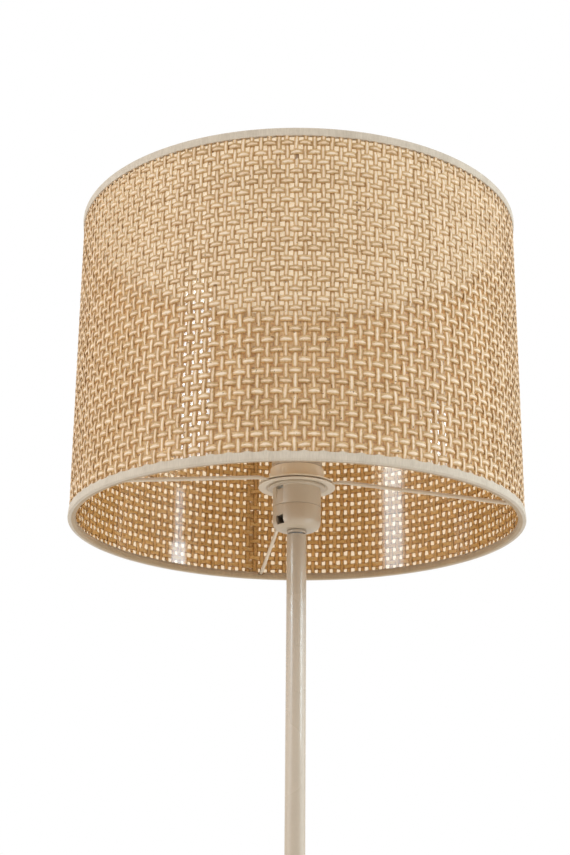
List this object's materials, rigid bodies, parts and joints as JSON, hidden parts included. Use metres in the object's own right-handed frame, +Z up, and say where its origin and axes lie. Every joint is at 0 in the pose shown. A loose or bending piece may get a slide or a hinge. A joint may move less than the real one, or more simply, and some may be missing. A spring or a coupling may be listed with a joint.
{
  "type": "floor lamp",
  "caption": "Floor lamp with a weighted round base, a slim straight pole and a drum shade of openly woven rattan on wire arms over an upright bulb socket.",
  "frame": {"origin": "on the floor, on the pole's axis", "axes": "+Z up along the pole; +Y towards the back, where the cable gland is; +X to the lamp's right"},
  "size_m": [0.3514, 0.3514, 1.5],
  "materials": {
    "rattan": "woven rattan, matt with a slight sheen",
    "clear_film": "clear glossy film",
    "trim_tape": "ribbed woven tape",
    "cream_metal": "semi-gloss cream powder coat",
    "cream_plastic": "satin moulded plastic",
    "cast_iron": "raw casting",
    "black_plastic": "satin",
    "brass": "bright",
    "ceramic": "glazed ceramic",
    "rubber": "matt",
    "zinc_steel": "zinc plated",
    "live_brown": "satin insulation",
    "neutral_blue": "satin insulation"
  },
  "bodies": {
    "stand": {"base_cover": "cream_metal", "base_weight": "cast_iron", "base_underplate": "black_plastic", "rubber_foot_1": "rubber", "rubber_foot_2": "rubber", "rubber_foot_3": "rubber", "rubber_foot_4": "rubber", "underplate_screw_1": "zinc_steel", "underplate_screw_2": "zinc_steel", "underplate_screw_3": "zinc_steel", "base_washer": "zinc_steel", "base_nut": "zinc_steel", "base_stud": "zinc_steel", "cable_gland": "black_plastic", "cord_saddle": "black_plastic", "saddle_screw_1": "zinc_steel", "saddle_screw_2": "zinc_steel", "pole_tube_1": "cream_metal", "pole_tube_2": "cream_metal", "pole_tube_3": "cream_metal", "pole_coupler_1": "zinc_steel", "pole_coupler_2": "zinc_steel", "pole_bottom_bush": "zinc_steel", "pole_top_bush": "zinc_steel", "pole_foot_collar": "cream_metal", "holder_dome": "cream_plastic", "holder_shell": "cream_plastic", "contact_block": "ceramic", "screw_sleeve": "brass", "centre_contact": "brass", "terminal_screw_1": "brass", "terminal_screw_2": "brass", "holder_nipple": "zinc_steel", "holder_locknut": "cream_metal", "inner_lead": "black_plastic", "core_live": "live_brown", "core_neutral": "neutral_blue"},
    "shade": {"shade_weave": "rattan", "shade_liner": "clear_film", "bottom_ring": "zinc_steel", "top_ring": "zinc_steel", "bottom_tape": "trim_tape", "top_tape": "trim_tape", "spider_plate": "cream_metal", "spider_arm_1": "cream_metal", "spider_arm_2": "cream_metal", "spider_arm_3": "cream_metal"},
    "clamp_ring": {"clamp_ring": "cream_plastic"}
  },
  "joints": [
    {"name": "shade_swivel", "type": "hinge", "parent": "stand", "child": "shade", "pos_m": [0, 0, 1.2831], "axis": [0, 0, 1], "continuous": true},
    {"name": "clamp_ring_turn", "type": "hinge", "parent": "stand", "child": "clamp_ring", "pos_m": [0, 0, 1.2842], "axis": [0, 0, 1], "range_deg": [0, 720]}
  ]
}
